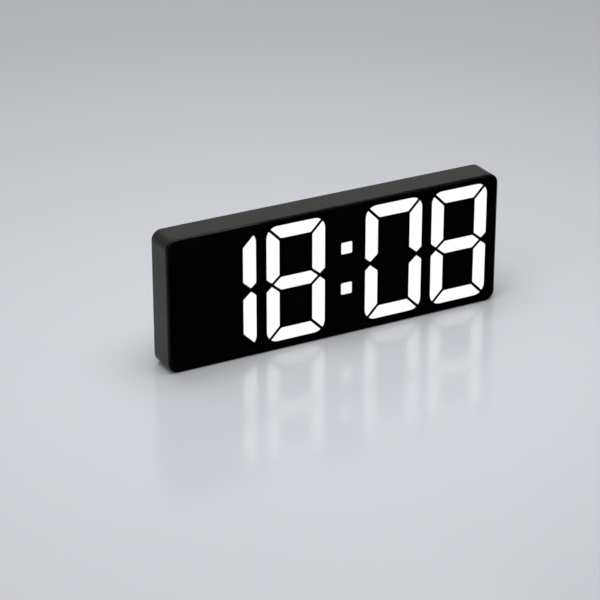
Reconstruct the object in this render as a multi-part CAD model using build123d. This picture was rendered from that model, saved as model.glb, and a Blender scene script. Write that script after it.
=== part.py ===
from build123d import *
import math
import os

# Digital LED desk clock: a flat body with a full-width smoked lens, and a rear housing for three AAA cells.
# Millimetres, +Z up, the front faces -Y, the origin is under the middle of the clock on the table.

# Overall size
WIDTH = 160.0
HEIGHT = 60.0
DEPTH = 25.0
CORNER_RADIUS = 4.5
LEAST_CORNER = 0.2
OVERRUN = 1.0

# Front lens and its adhesive frame
LENS_THICKNESS = 1.9
LENS_GAP = 0.1
LENS_RIM = 1.2
LENS_EDGE_ROUND = 0.9
LENS_FIT = 0.2
ADHESIVE_THICKNESS = 0.15
ADHESIVE_INSET = 0.3

# Case shell
WALL = 2.0
CASE_EDGE_ROUND = 0.6
LEDGE_THICKNESS = 1.5
LEDGE_REACH = 3.0
BOSS_DIAMETER = 5.6
BOSS_LENGTH = 7.2
BOSS_INSET = 6.0
BOSS_RAISE = 6.5
GUSSET_MARGIN = 1.0

# Seven-segment display
LEFT_MARGIN = 11.93
RIGHT_MARGIN = 2.52
DIGIT_MARGIN = 1.55
DIGIT_DROP = 0.35
DIGIT_GAP = 4.9
COLON_SPACE = 19.75
COLON_SHIFT = 0.7
COLON_SIZE = 5.35
COLON_ROUND = 0.6
COLON_SPREAD = 18.75
STROKE = 6.15
BAR_STROKE = 5.85
SEGMENT_GAP = 1.25
DIGIT_CORNER = 5.2
MITRE_ANGLE = 40.0
CORNER_MITRE_ANGLE = 45.0
MID_POINT_SHARE = 0.40
SEGMENT_FIT = 0.04
DIFFUSER_DEPTH = 1.0
MASK_THICKNESS = 0.25
LIGHT_BOX_FIT = 0.25
WELL_INSET = 1.2
LED_LENGTH = 2.0
LED_WIDTH = 1.25
LED_HEIGHT = 0.8
LED_SPREAD = 7.0

# Main board and what is soldered to its back
BOARD_THICKNESS = 1.2
CHIP_LENGTH = 10.0
CHIP_WIDTH = 7.5
CHIP_HEIGHT = 1.2
CHIP_EDGE = 0.25
CRYSTAL_DIAMETER = 2.0
CRYSTAL_LENGTH = 6.0
CAPACITOR_DIAMETER = 6.3
CAPACITOR_LENGTH = 5.5
CAPACITOR_EDGE = 0.5
RESISTOR_LENGTH = 1.6
RESISTOR_WIDTH = 0.8
RESISTOR_HEIGHT = 0.45
RESISTOR_PITCH = 2.5
RESISTOR_COUNT = 6
BUZZER_DIAMETER = 12.0
BUZZER_HEIGHT = 8.5
BUZZER_HOLE = 2.0
BUZZER_EDGE = 0.6
PART_SPACING = 3.0

# Rear cover
COVER_WALL = 2.0
COVER_FIT = 0.15
FLANGE_GAP = 1.5
TUB_SIDE_INSET = 5.0
TUB_TOP_INSET = 4.0
TUB_TAPER = 5.5
TUB_CORNER = 9.0
REAR_EDGE_ROUND = 1.5
SOUND_HOLE = 1.6
SOUND_RING = 4.0
SOUND_COUNT = 6

# Battery bay, cells and contacts
CELL_DIAMETER = 10.5
CELL_LENGTH = 44.5
CELL_COUNT = 3
CELL_GAP = 0.5
CELL_FIT = 0.2
CELL_ROOM = 0.8
CELL_EDGE = 0.6
NUB_DIAMETER = 3.8
NUB_LENGTH = 0.9
BAY_WALL = 1.5
BAY_CLEARANCE = 0.3
CRADLE_THICKNESS = 1.2
CRADLE_HEIGHT = 2.0
PLATE_THICKNESS = 0.3
PLATE_WIDTH = 8.0
DIMPLE_HEIGHT = 0.6
DIMPLE_BASE = 1.6
DIMPLE_TIP = 1.0
TAB_WIDTH = 2.5
TAB_LENGTH = 2.4
TAB_FIT = 0.15
SPRING_LENGTH = 4.2
SPRING_WIRE = 0.5
SPRING_TURNS = 3
SPRING_BASE = 3.3
SPRING_TIP = 1.9
SPRING_SEAT = 0.02
SPRING_SIDES = 6
LEAD_DIAMETER = 1.2
LEAD_RUN = 8.0
LEAD_BEND = 2.4
LEAD_SIDES = 8

# Battery door
DOOR_THICKNESS = 2.0
DOOR_OVERLAP = 3.0
DOOR_FIT = 0.15
RAIL_WIDTH = 1.2
RAIL_THICKNESS = 0.9
FRAME_THICKNESS = 1.5
GRIP_COUNT = 5
GRIP_PITCH = 2.0
GRIP_WIDTH = 1.0
GRIP_DEPTH = 0.5
GRIP_LENGTH = 18.0
GRIP_STEP = 3.2
GRIP_DROP = 5.0

# Keys, switches and control board
KEY_COUNT = 4
KEY_WIDTH = 7.5
KEY_HEIGHT = 4.6
KEY_PITCH = 7.5
KEY_FIT = 0.25
KEY_GAP = 0.15
KEY_BELOW = 0.1
KEY_EDGE = 0.3
KEY_FLANGE = 0.8
KEY_FLANGE_THICKNESS = 0.9
DISH_DEPTH = 0.8
DISH_MARGIN = 1.6
SWITCH_SIZE = 6.0
SWITCH_HEIGHT = 3.5
PLUNGER_DIAMETER = 3.4
PLUNGER_HEIGHT = 1.5
PLUNGER_DEPTH = 0.6
PLUNGER_FIT = 0.1
PLUNGER_ROOM = 0.7
CONTROL_MARGIN = 0.5
CONTROL_SPACING = 0.8
POST_DIAMETER = 4.0
HEADER_PINS = 6
HEADER_PITCH = 2.54
HEADER_HEIGHT = 2.5
PIN_SIZE = 0.64
PIN_HOLE = 1.0
PIN_STANDOUT = 1.0

# Power socket
SOCKET_WIDTH = 8.94
SOCKET_HEIGHT = 3.16
SOCKET_SHEET = 0.3
SOCKET_RECESS = 0.2
SOCKET_FIT = 0.2
SOCKET_DROP = 2.0
SOCKET_BASE = 2.0
TONGUE_WIDTH = 6.7
TONGUE_THICKNESS = 0.7
TONGUE_RECESS = 0.8

# Screws: the case, the main board and the control board
CASE_SCREW_DIAMETER = 2.2
CASE_SCREW_LENGTH = 7.0
CASE_SCREW_HEAD = 4.0
CASE_SCREW_HEAD_HEIGHT = 1.5
SMALL_SCREW_DIAMETER = 1.7
SMALL_SCREW_LENGTH = 4.5
SCREW_REACH_SHARE = 0.53
SMALL_SCREW_HEAD = 3.2
SMALL_SCREW_HEAD_HEIGHT = 1.1
SHANK_SIDES = 8
SCREW_FIT = 0.02
SCREW_HOLE_FIT = 0.2
SCREW_END_ROOM = 0.5
HEAD_FIT = 0.3
WELL_FLOOR = 1.6
WELL_WALL = 1.3
BOARD_SCREW_SPREAD = 16.0

# Depths, from the lens at the front to the door at the back
front = -DEPTH / 2
rear = DEPTH / 2
lens_rear = front + LENS_THICKNESS
mask_front = lens_rear + LENS_GAP
box_front = mask_front + MASK_THICKNESS
door_inner = rear - DOOR_THICKNESS
recess_floor = door_inner - DOOR_FIT
cell_y = door_inner - CELL_ROOM - CELL_DIAMETER / 2
bay_floor = cell_y - CELL_DIAMETER / 2 - CELL_FIT
bay_under = bay_floor - BAY_WALL
board_rear = bay_under - BAY_CLEARANCE
board_front = board_rear - BOARD_THICKNESS
board_screw_length = BOARD_THICKNESS + SCREW_REACH_SHARE * (board_front - box_front)
ledge_rear = board_rear + LEDGE_THICKNESS
body_rear = ledge_rear + FLANGE_GAP + COVER_WALL
case_front = front + LENS_RIM + ADHESIVE_THICKNESS
cover_inner = rear - COVER_WALL
boss_top = board_rear + BOSS_LENGTH

# Outlines of the case and the rear housing
inner_width = WIDTH - 2 * WALL
inner_height = HEIGHT - 2 * WALL
middle_z = HEIGHT / 2
tub_half = WIDTH / 2 - TUB_SIDE_INSET
tub_top = HEIGHT - TUB_TOP_INSET
tub_depth = rear - body_rear
rear_half = tub_half - TUB_TAPER
rear_top = tub_top - TUB_TAPER
boss_x = rear_half - BOSS_INSET
boss_places = [(side * boss_x, z) for side in (-1, 1) for z in (BOSS_RAISE, rear_top - BOSS_INSET)]
well_radius = CASE_SCREW_HEAD / 2 + HEAD_FIT

# Places of the digits and the colon
digit_height = inner_height - 2 * DIGIT_MARGIN
digit_z = middle_z - DIGIT_DROP
digit_width = (inner_width - LEFT_MARGIN - RIGHT_MARGIN - 2 * DIGIT_GAP - COLON_SPACE) / 4
first_x = -inner_width / 2 + LEFT_MARGIN + digit_width / 2
digit_step = digit_width + DIGIT_GAP
third_x = first_x + digit_step + digit_width + COLON_SPACE
digit_places = [first_x, first_x + digit_step, third_x, third_x + digit_step]
colon_x = (digit_places[1] + digit_places[2]) / 2 + COLON_SHIFT

# Battery bay and door
cell_pitch = CELL_DIAMETER + CELL_GAP
bay_half = (CELL_LENGTH + SPRING_LENGTH + DIMPLE_HEIGHT + 2 * PLATE_THICKNESS) / 2
bay_z = rear_top / 2
bay_half_height = CELL_COUNT * cell_pitch / 2
cell_places = [bay_z + ((CELL_COUNT - 1) / 2 - i) * cell_pitch for i in range(CELL_COUNT)]
door_half = bay_half + DOOR_OVERLAP
door_bottom = bay_z - bay_half_height - DOOR_OVERLAP
groove_half = door_half + RAIL_WIDTH + DOOR_FIT
frame_half = groove_half + BAY_WALL
door_travel = 2 * bay_half_height + DOOR_OVERLAP
tab_y = cell_y - PLATE_WIDTH / 2 + TAB_WIDTH / 2
tab_end = bay_half + BAY_WALL + TAB_LENGTH

# Key column, header, socket and posts, in a row that is centred between the bay and the end of the housing
post_radius = POST_DIAMETER / 2
flange_half_width = KEY_WIDTH / 2 + KEY_FLANGE
row_sizes = [POST_DIAMETER, 2 * flange_half_width, HEADER_PITCH, POST_DIAMETER]
row_length = sum(row_sizes) + (len(row_sizes) - 1) * CONTROL_SPACING
row_start = (frame_half + rear_half - COVER_WALL - row_length) / 2
left_post_x = row_start + post_radius
key_x = left_post_x + post_radius + CONTROL_SPACING + flange_half_width
header_x = key_x + flange_half_width + CONTROL_SPACING + HEADER_PITCH / 2
socket_x = header_x + HEADER_PITCH / 2 + CONTROL_SPACING + post_radius
key_places = [bay_z + ((KEY_COUNT - 1) / 2 - i) * KEY_PITCH for i in range(KEY_COUNT)]
key_names = ["set", "up", "down", "alarm"]
key_seat = cover_inner - KEY_GAP - KEY_FLANGE_THICKNESS
control_rear = key_seat - PLUNGER_HEIGHT - SWITCH_HEIGHT
control_front = control_rear - BOARD_THICKNESS
control_half = (KEY_COUNT - 1) / 2 * KEY_PITCH + SWITCH_SIZE / 2 + CONTROL_MARGIN
control_left = row_start
control_right = row_start + row_length
right_post_z = control_half - post_radius
post_places = [(left_post_x, bay_z), (socket_x, bay_z + right_post_z), (socket_x, bay_z - right_post_z)]
socket_z = bay_z - SOCKET_DROP
socket_mouth = rear - SOCKET_RECESS

# Buzzer and chip, one above the other, midway between the screw bosses
margin_z = (BOSS_RAISE + rear_top - BOSS_INSET) / 2
buzzer_x = -(frame_half + rear_half) / 2
buzzer_z = margin_z - (CHIP_WIDTH + PART_SPACING) / 2
chip_z = margin_z + (BUZZER_DIAMETER + PART_SPACING) / 2

# Main board screws, clear of the segments and of the battery bay
margin_x = -inner_width / 2 + LEFT_MARGIN / 2
top_screw_z = (bay_z + bay_half_height + HEIGHT) / 2
board_screw_places = [
    (margin_x, margin_z - BOARD_SCREW_SPREAD / 2),
    (margin_x, margin_z + BOARD_SCREW_SPREAD / 2),
    (digit_places[3] - digit_step / 2, top_screw_z),
    (colon_x, top_screw_z),
]

SEGMENTS_OF = {"zero": "abcdef", "one": "bc", "eight": "abcdefg"}
DIGIT_NAMES = ["hour_tens", "hour_units", "minute_tens", "minute_units"]
SHOWN = ["one", "eight", "zero", "eight"]


def block(x0, x1, y0, y1, z0, z1):
    """A box between two corners."""
    return Pos((x0 + x1) / 2, (y0 + y1) / 2, (z0 + z1) / 2) * Box(x1 - x0, y1 - y0, z1 - z0)


def prism(sketch, y0, y1):
    """A sketch drawn in front view (x, z), extruded from depth y0 back to depth y1."""
    plane = Plane(origin=(0, y1, 0), x_dir=(1, 0, 0), z_dir=(0, -1, 0))
    return extrude(plane * sketch, amount=y1 - y0)


def rod(x, z, radius, y0, y1):
    """A round bar along Y."""
    return prism(Pos(x, z) * Circle(radius), y0, y1)


def front_outline(inset):
    """The clock's rounded outline in front view, made smaller all round by inset."""
    radius = max(CORNER_RADIUS - inset, LEAST_CORNER)
    return Pos(0, middle_z) * RectangleRounded(WIDTH - 2 * inset, HEIGHT - 2 * inset, radius)


def screw(x, z, seat, direction, diameter, length, head, head_height):
    """A flat-head screw along Y whose head bears at depth seat, with its faceted shank on the other side."""
    low, high = sorted((seat, seat + direction * head_height))
    crown = rod(x, z, head / 2, low, high)
    low, high = sorted((seat, seat - direction * length))
    return crown + prism(Pos(x, z) * RegularPolygon(diameter / 2, SHANK_SIDES), low, high)


# Display


def digit_faces(shrink):
    """The seven segments of one digit about its middle, keyed a to g, each drawn in by shrink."""
    half_width = digit_width / 2
    half_height = digit_height / 2
    gap = SEGMENT_GAP + 2 * shrink
    band = RectangleRounded(digit_width - 2 * shrink, digit_height - 2 * shrink, DIGIT_CORNER - shrink)
    window_width = digit_width - 2 * STROKE + 2 * shrink
    window_height = (digit_height - 3 * BAR_STROKE) / 2 + 2 * shrink
    window_z = (digit_height - BAR_STROKE) / 4
    strip = Rectangle(2 * STROKE, gap)
    reach = MID_POINT_SHARE * STROKE + OVERRUN
    rise = reach * math.tan(math.radians(MITRE_ANGLE))
    for up in (-1, 1):
        band -= Pos(0, up * window_z) * Rectangle(window_width, window_height)
    for side in (-1, 1):
        tip = side * (half_width - MID_POINT_SHARE * STROKE)
        band -= Polygon((tip, 0), (tip + side * reach, rise), (tip + side * reach, -rise), align=None)
        for up in (-1, 1):
            corner = Pos(side * (half_width - STROKE / 2), up * (half_height - BAR_STROKE / 2))
            band -= corner * Rot(0, 0, side * up * CORNER_MITRE_ANGLE) * strip
            band -= Pos(tip, 0) * Rot(0, 0, up * MITRE_ANGLE) * strip
    faces = {}
    for face in band.faces():
        centre = face.center(CenterOf.MASS)
        if abs(centre.X) < STROKE:
            row = "d" if centre.Y < -BAR_STROKE else "a" if centre.Y > BAR_STROKE else "g"
            faces[row] = face
        elif centre.Y > 0:
            faces["b" if centre.X > 0 else "f"] = face
        else:
            faces["c" if centre.X > 0 else "e"] = face
    return faces


def colon_sketches(shrink):
    """The two colon dots, each drawn in by shrink."""
    dot = RectangleRounded(COLON_SIZE - 2 * shrink, COLON_SIZE - 2 * shrink, COLON_ROUND - shrink)
    return [Pos(colon_x, middle_z + up * COLON_SPREAD / 2) * dot for up in (-1, 1)]


def window_sketches():
    """Every window of the display: four digits and the colon."""
    faces = digit_faces(0)
    windows = [Pos(x, digit_z) * face for x in digit_places for face in faces.values()]
    return windows + colon_sketches(0)


def light_well(window):
    """A straight mouth for the diffuser, then a draft towards the LED chips on the board."""
    mouth_end = box_front + DIFFUSER_DEPTH
    length = board_front - mouth_end
    plane = Plane(origin=(0, mouth_end, 0), x_dir=(1, 0, 0), z_dir=(0, -1, 0))
    draft = extrude(plane * window, amount=-length, taper=math.degrees(math.atan(WELL_INSET / length)))
    return prism(window, box_front, mouth_end) + draft


def display_mask(windows):
    """Black film on the front of the light box, with a window for each segment."""
    film = prism(front_outline(WALL + LIGHT_BOX_FIT), mask_front, box_front)
    return film - [prism(window, mask_front, box_front) for window in windows]


def display_light_box(windows):
    """White moulding with one tapered light well for each segment and four screw holes."""
    body = prism(front_outline(WALL + LIGHT_BOX_FIT), box_front, board_front)
    wells = [light_well(window) for window in windows]
    hole_end = board_rear - board_screw_length - SCREW_END_ROOM
    hole = SMALL_SCREW_DIAMETER / 2 + SCREW_FIT
    return body - wells - [rod(x, z, hole, hole_end, board_front) for x, z in board_screw_places]


def segment_groups():
    """The diffusers of each digit, lit and unlit, and of the colon."""
    faces = digit_faces(SEGMENT_FIT)
    groups = {}
    for name, x, shown in zip(DIGIT_NAMES, digit_places, SHOWN):
        for letter, face in faces.items():
            state = "lit" if letter in SEGMENTS_OF[shown] else "dark"
            piece = prism(Pos(x, digit_z) * face, mask_front, box_front + DIFFUSER_DEPTH)
            groups.setdefault(f"{name}_{state}", []).append(piece)
    dots = colon_sketches(SEGMENT_FIT)
    groups["colon_dots"] = [prism(dot, mask_front, box_front + DIFFUSER_DEPTH) for dot in dots]
    return groups


def led_chips():
    """Two chips behind each segment, along its length, and one behind each colon dot."""
    chips = []
    for x in digit_places:
        for letter, face in digit_faces(0).items():
            centre = face.center(CenterOf.MASS)
            level = letter in "adg"
            for side in (-1, 1):
                along = side * LED_SPREAD / 2
                place = (x + centre.X + along * level, digit_z + centre.Y + along * (not level))
                chips.append(led_chip(*place, level))
    for up in (-1, 1):
        chips.append(led_chip(colon_x, middle_z + up * COLON_SPREAD / 2, True))
    return chips


def led_chip(x, z, level):
    """One LED chip on the front of the board."""
    length, width = (LED_LENGTH, LED_WIDTH) if level else (LED_WIDTH, LED_LENGTH)
    return prism(Pos(x, z) * Rectangle(length, width), board_front - LED_HEIGHT, board_front)


# Front and case


def front_lens():
    """Cover plate with a rounded front edge and a thicker middle that sits inside the case walls."""
    plate = prism(front_outline(0), front, front + LENS_RIM)
    plate = fillet(plate.edges().group_by(Axis.Y)[0], LENS_EDGE_ROUND)
    return plate + prism(front_outline(WALL + LENS_FIT), front + LENS_RIM, lens_rear)


def lens_adhesive():
    """Frame of adhesive between the lens rim and the front edge of the case."""
    frame = front_outline(ADHESIVE_INSET) - front_outline(WALL - ADHESIVE_INSET)
    return prism(frame, front + LENS_RIM, case_front)


def case_shell():
    """Open frame with a ledge behind the board, and corner gussets that carry the screw bosses."""
    shell = prism(front_outline(0), case_front, body_rear)
    shell = fillet(shell.edges().group_by(Axis.Y)[-1], CASE_EDGE_ROUND)
    shell -= prism(front_outline(WALL), case_front, board_rear)
    shell -= prism(front_outline(WALL + LEDGE_REACH), board_rear, ledge_rear)
    shell -= prism(front_outline(WALL), ledge_rear, body_rear)
    inside = prism(front_outline(WALL / 2), board_rear, ledge_rear)
    reach = BOSS_DIAMETER / 2 + GUSSET_MARGIN
    hole = CASE_SCREW_DIAMETER / 2 + SCREW_FIT
    hole_end = boss_top + WELL_FLOOR - CASE_SCREW_LENGTH - SCREW_END_ROOM
    for x, z in boss_places:
        inner_x, outer_x = x - math.copysign(reach, x), math.copysign(WIDTH / 2, x)
        inner_z, outer_z = (z + reach, 0) if z < middle_z else (z - reach, HEIGHT)
        spans = sorted((inner_x, outer_x)) + [board_rear, ledge_rear] + sorted((inner_z, outer_z))
        shell += block(*spans) & inside
        shell += rod(x, z, BOSS_DIAMETER / 2, board_rear, boss_top)
    return shell - [rod(x, z, hole, hole_end, boss_top) for x, z in boss_places]


# Rear housing


def tub_form(inset, depth):
    """The tapered rear housing, made smaller all round by inset. Its lower half lies below the table."""
    plane = Plane(origin=(0, body_rear, 0), x_dir=(-1, 0, 0), z_dir=(0, 1, 0))
    outline = RectangleRounded(2 * (tub_half - inset), 2 * (tub_top - inset), TUB_CORNER - inset)
    return extrude(plane * outline, amount=depth, taper=math.degrees(math.atan(TUB_TAPER / tub_depth)))


def tub_outer():
    """The outside of the rear housing, flat underneath so that the clock stands on it."""
    form = tub_form(0, tub_depth)
    form = fillet(form.edges().group_by(Axis.Y)[-1], REAR_EDGE_ROUND)
    return form & block(-WIDTH / 2, WIDTH / 2, body_rear, rear, 0, HEIGHT)


def tub_inner():
    """The hollow of the rear housing, above its floor."""
    hollow = tub_form(COVER_WALL, tub_depth - COVER_WALL)
    return hollow & block(-WIDTH / 2, WIDTH / 2, body_rear, rear, COVER_WALL, HEIGHT)


def cover_flange():
    """The rim that fits inside the case walls, open where the rear housing is open."""
    rim = prism(front_outline(WALL + COVER_FIT), body_rear - COVER_WALL, body_rear)
    half, top = tub_half - COVER_WALL, tub_top - COVER_WALL
    opening = RectangleRounded(2 * half, 2 * top, TUB_CORNER - COVER_WALL)
    return rim - prism(opening, body_rear - COVER_WALL, body_rear)


def battery_bay(outside):
    """Walls and floor of the battery bay, and the frame that carries the door inside the housing's outside."""
    outer_half = bay_half + BAY_WALL
    outer_height = bay_half_height + BAY_WALL
    box = block(-outer_half, outer_half, bay_under, recess_floor, bay_z - outer_height, bay_z + outer_height)
    low = door_bottom - DOOR_FIT - BAY_WALL
    frame = block(-frame_half, frame_half, recess_floor - FRAME_THICKNESS, rear, low, HEIGHT)
    return box + (frame & outside)


def bay_cuts():
    """The hollow of the bay, the door's recess and its rail grooves, and the slots of the two tabs."""
    low, high = bay_z - bay_half_height, bay_z + bay_half_height
    recess = door_half + DOOR_FIT
    bottom = door_bottom - DOOR_FIT
    groove_top = door_inner + RAIL_THICKNESS + DOOR_FIT
    cuts = [
        block(-bay_half, bay_half, bay_floor, rear, low, high),
        block(-recess, recess, recess_floor, rear + OVERRUN, bottom, HEIGHT),
        block(-groove_half, groove_half, recess_floor, groove_top, bottom, HEIGHT),
    ]
    for side, z in ((1, cell_places[-1]), (-1, cell_places[0])):
        spans = sorted((side * (bay_half - OVERRUN), side * (bay_half + BAY_WALL + OVERRUN)))
        half_sheet, half_width = PLATE_THICKNESS / 2 + TAB_FIT, TAB_WIDTH / 2 + TAB_FIT
        cuts.append(block(*spans, tab_y - half_sheet, tab_y + half_sheet, z - half_width, z + half_width))
    return cuts


def cell_cradles():
    """Low ribs on the floor of the bay between the cells."""
    ribs = []
    for i in range(CELL_COUNT - 1):
        z = (cell_places[i] + cell_places[i + 1]) / 2
        half = CRADLE_THICKNESS / 2
        length = bay_half - SPRING_LENGTH - PLATE_THICKNESS
        ribs.append(block(-length, length, bay_under, bay_floor + CRADLE_HEIGHT, z - half, z + half))
    return ribs


def key_outline(grow):
    """One key in front view, with round ends, made larger all round by grow."""
    return SlotOverall(KEY_WIDTH + 2 * grow, KEY_HEIGHT + 2 * grow)


def dish_outline():
    """The shallow recess round the column of keys."""
    width = KEY_WIDTH + 2 * DISH_MARGIN
    height = (KEY_COUNT - 1) * KEY_PITCH + KEY_HEIGHT + 2 * DISH_MARGIN
    return Pos(key_x, bay_z) * RectangleRounded(width, height, KEY_HEIGHT / 2 + DISH_MARGIN)


def socket_outline(grow):
    """The power socket in front view, standing on end, made larger all round by grow."""
    slot = SlotOverall(SOCKET_WIDTH + 2 * grow, SOCKET_HEIGHT + 2 * grow)
    return Pos(socket_x, socket_z) * Rot(0, 0, 90) * slot


def sound_holes():
    """A ring of small holes with one in the middle, behind the buzzer."""
    holes = [rod(buzzer_x, buzzer_z, SOUND_HOLE / 2, cover_inner, rear)]
    for i in range(SOUND_COUNT):
        angle = 2 * math.pi * i / SOUND_COUNT
        x, z = buzzer_x + SOUND_RING * math.cos(angle), buzzer_z + SOUND_RING * math.sin(angle)
        holes.append(rod(x, z, SOUND_HOLE / 2, cover_inner, rear))
    return holes


def rear_cover():
    """Rear housing with its flange, battery bay, screw wells, board posts and openings."""
    outside = tub_outer()
    cover = (outside - tub_inner()) + cover_flange()
    cover += battery_bay(outside)
    well_top = boss_top + WELL_FLOOR
    cover += [rod(x, z, well_radius + WELL_WALL, boss_top, cover_inner) for x, z in boss_places]
    cover += [rod(x, z, post_radius, control_rear, cover_inner) for x, z in post_places]
    cover -= bay_cuts()
    cover += cell_cradles()
    cover -= [rod(x, z, well_radius, well_top, rear) for x, z in boss_places]
    through = CASE_SCREW_DIAMETER / 2 + SCREW_HOLE_FIT
    cover -= [rod(x, z, through, boss_top, well_top) for x, z in boss_places]
    pilot = SMALL_SCREW_DIAMETER / 2 + SCREW_FIT
    pilot_end = control_front + SMALL_SCREW_LENGTH + SCREW_END_ROOM
    cover -= [rod(x, z, pilot, control_rear, pilot_end) for x, z in post_places]
    cover -= prism(dish_outline(), rear - DISH_DEPTH, rear)
    cover -= [prism(Pos(key_x, z) * key_outline(KEY_FIT), cover_inner, rear) for z in key_places]
    cover -= prism(socket_outline(SOCKET_FIT), cover_inner, rear)
    return cover - sound_holes()


def battery_door():
    """Sliding door that carries on the outside of the housing, with a rail along each side."""
    panel = block(-door_half, door_half, door_inner, rear, door_bottom, HEIGHT)
    rail_half = door_half + RAIL_WIDTH
    rails = block(-rail_half, rail_half, door_inner, door_inner + RAIL_THICKNESS, door_bottom, HEIGHT)
    door = (panel + rails) & tub_outer()
    for i in range(GRIP_COUNT):
        z = rear_top - GRIP_DROP - i * GRIP_PITCH
        length = GRIP_LENGTH - (GRIP_COUNT - 1 - i) * GRIP_STEP
        door -= prism(Pos(0, z) * SlotOverall(length, GRIP_WIDTH), rear - GRIP_DEPTH, rear)
    return door


# Cells and contacts


def cell_side(index):
    """The side that a cell's positive end faces: cells lie head to tail."""
    return 1 if index % 2 == 0 else -1


def battery_cell(index):
    """One AAA cell with its positive nub."""
    side = cell_side(index)
    nub_end = bay_half - PLATE_THICKNESS - DIMPLE_HEIGHT
    can_length = CELL_LENGTH - NUB_LENGTH
    can = Cylinder(CELL_DIAMETER / 2, can_length)
    can = chamfer(can.edges().group_by(Axis.Z)[0] + can.edges().group_by(Axis.Z)[-1], CELL_EDGE)
    nub = Pos(0, 0, can_length / 2 + NUB_LENGTH / 2) * Cylinder(NUB_DIAMETER / 2, NUB_LENGTH)
    middle = side * (nub_end - NUB_LENGTH - can_length / 2)
    return Pos(middle, cell_y, cell_places[index]) * Rot(0, side * 90, 0) * (can + nub)


def contact_plate(side, places, dimple_z, tab_z):
    """A contact plate against one end of the bay, with a dimple for a positive end and a tab for a lead."""
    inner, outer = side * (bay_half - PLATE_THICKNESS), side * bay_half
    half = PLATE_WIDTH / 2
    spans = sorted((inner, outer))
    plate = block(*spans, cell_y - half, cell_y + half, min(places) - half, max(places) + half)
    if dimple_z is not None:
        cone = Cone(DIMPLE_BASE, DIMPLE_TIP, DIMPLE_HEIGHT)
        middle = inner - side * DIMPLE_HEIGHT / 2
        plate += Pos(middle, cell_y, dimple_z) * Rot(0, -side * 90, 0) * cone
    if tab_z is not None:
        spans = sorted((inner, side * tab_end))
        half_sheet, half_width = PLATE_THICKNESS / 2, TAB_WIDTH / 2
        plate += block(*spans, tab_y - half_sheet, tab_y + half_sheet, tab_z - half_width, tab_z + half_width)
    return plate


def spring_point(turn):
    """A point on the axis of the spring's wire, after a number of turns."""
    angle = 2 * math.pi * turn
    radius = SPRING_BASE + (SPRING_TIP - SPRING_BASE) * turn / SPRING_TURNS
    rise = (SPRING_LENGTH - SPRING_WIRE - 2 * SPRING_SEAT) / SPRING_TURNS
    return Vector(rise * turn, radius * math.cos(angle), radius * math.sin(angle))


def spring_tangent(turn):
    """The direction of the spring's wire after a number of turns."""
    angle = 2 * math.pi * turn
    radius = SPRING_BASE + (SPRING_TIP - SPRING_BASE) * turn / SPRING_TURNS
    shrink = (SPRING_TIP - SPRING_BASE) / SPRING_TURNS / (2 * math.pi)
    rise = (SPRING_LENGTH - SPRING_WIRE - 2 * SPRING_SEAT) / SPRING_TURNS / (2 * math.pi)
    across = shrink * math.cos(angle) - radius * math.sin(angle)
    up = shrink * math.sin(angle) + radius * math.cos(angle)
    return Vector(rise, across, up).normalized()


def biarc(start, end):
    """Two arcs that meet smoothly, from one turn count of the spring to another."""
    p0, p1 = spring_point(start), spring_point(end)
    t0, t1 = spring_tangent(start), spring_tangent(end)
    chord, both = p1 - p0, t0 + t1
    a, b, c = both.dot(both) - 4, -2 * chord.dot(both), chord.dot(chord)
    reach = (-b - math.sqrt(b * b - 4 * a * c)) / (2 * a)
    joint = (p0 + t0 * reach + p1 - t1 * reach) / 2
    first = Edge.make_tangent_arc(p0, t0, joint)
    second = Edge.make_tangent_arc(joint, first.tangent_at(1), p1)
    return [first, second]


def battery_spring():
    """A conical coil spring along +X, wide at the plate and narrow at the cell."""
    quarters = SPRING_TURNS * 4
    edges = [edge for i in range(quarters) for edge in biarc(i / 4, (i + 1) / 4)]
    section = Plane(origin=spring_point(0), z_dir=spring_tangent(0)) * RegularPolygon(SPRING_WIRE / 2, SPRING_SIDES)
    return sweep(section, path=Wire(edges))


def spring_gap():
    """The least distance between two turns of the spring, between the faces of the wire."""
    steps = 72
    points = [spring_point(i / steps) for i in range(SPRING_TURNS * steps + 1)]
    apart = [(p - q).length for i, p in enumerate(points) for q in points[i + steps // 2:]]
    return min(apart) - SPRING_WIRE


def battery_springs():
    """One spring for the negative end of each cell."""
    spring = battery_spring()
    seat = bay_half - PLATE_THICKNESS - SPRING_WIRE / 2 - SPRING_SEAT
    springs = []
    for index, z in enumerate(cell_places):
        turn = 0 if cell_side(index) > 0 else 180
        springs.append(Pos(-cell_side(index) * seat, cell_y, z) * Rot(0, 0, turn) * spring)
    return springs


def battery_lead(side, z, up):
    """An insulated lead from a contact's tab, along the bay and down to the main board."""
    x = side * (bay_half + BAY_WALL + TAB_LENGTH / 2)
    start = z + up * TAB_WIDTH / 2
    route = [(x, tab_y, start), (x, tab_y, start + up * LEAD_RUN), (x, board_rear, start + up * LEAD_RUN)]
    path = FilletPolyline(*route, radius=LEAD_BEND)
    section = Plane(origin=route[0], z_dir=(0, 0, up)) * RegularPolygon(LEAD_DIAMETER / 2, LEAD_SIDES)
    return sweep(section, path=path)


# Boards and what they carry


def main_board():
    """The board behind the light box, with its screw holes."""
    board = prism(front_outline(WALL + LIGHT_BOX_FIT), board_front, board_rear)
    hole = SMALL_SCREW_DIAMETER / 2 + SCREW_HOLE_FIT
    return board - [rod(x, z, hole, board_front, board_rear) for x, z in board_screw_places]


def clock_chip():
    """The clock's controller in its flat moulded package."""
    half_length, half_width = CHIP_LENGTH / 2, CHIP_WIDTH / 2
    spans = (buzzer_x - half_length, buzzer_x + half_length, board_rear, board_rear + CHIP_HEIGHT)
    chip = block(*spans, chip_z - half_width, chip_z + half_width)
    return chamfer(chip.edges().group_by(Axis.Y)[-1], CHIP_EDGE)


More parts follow.
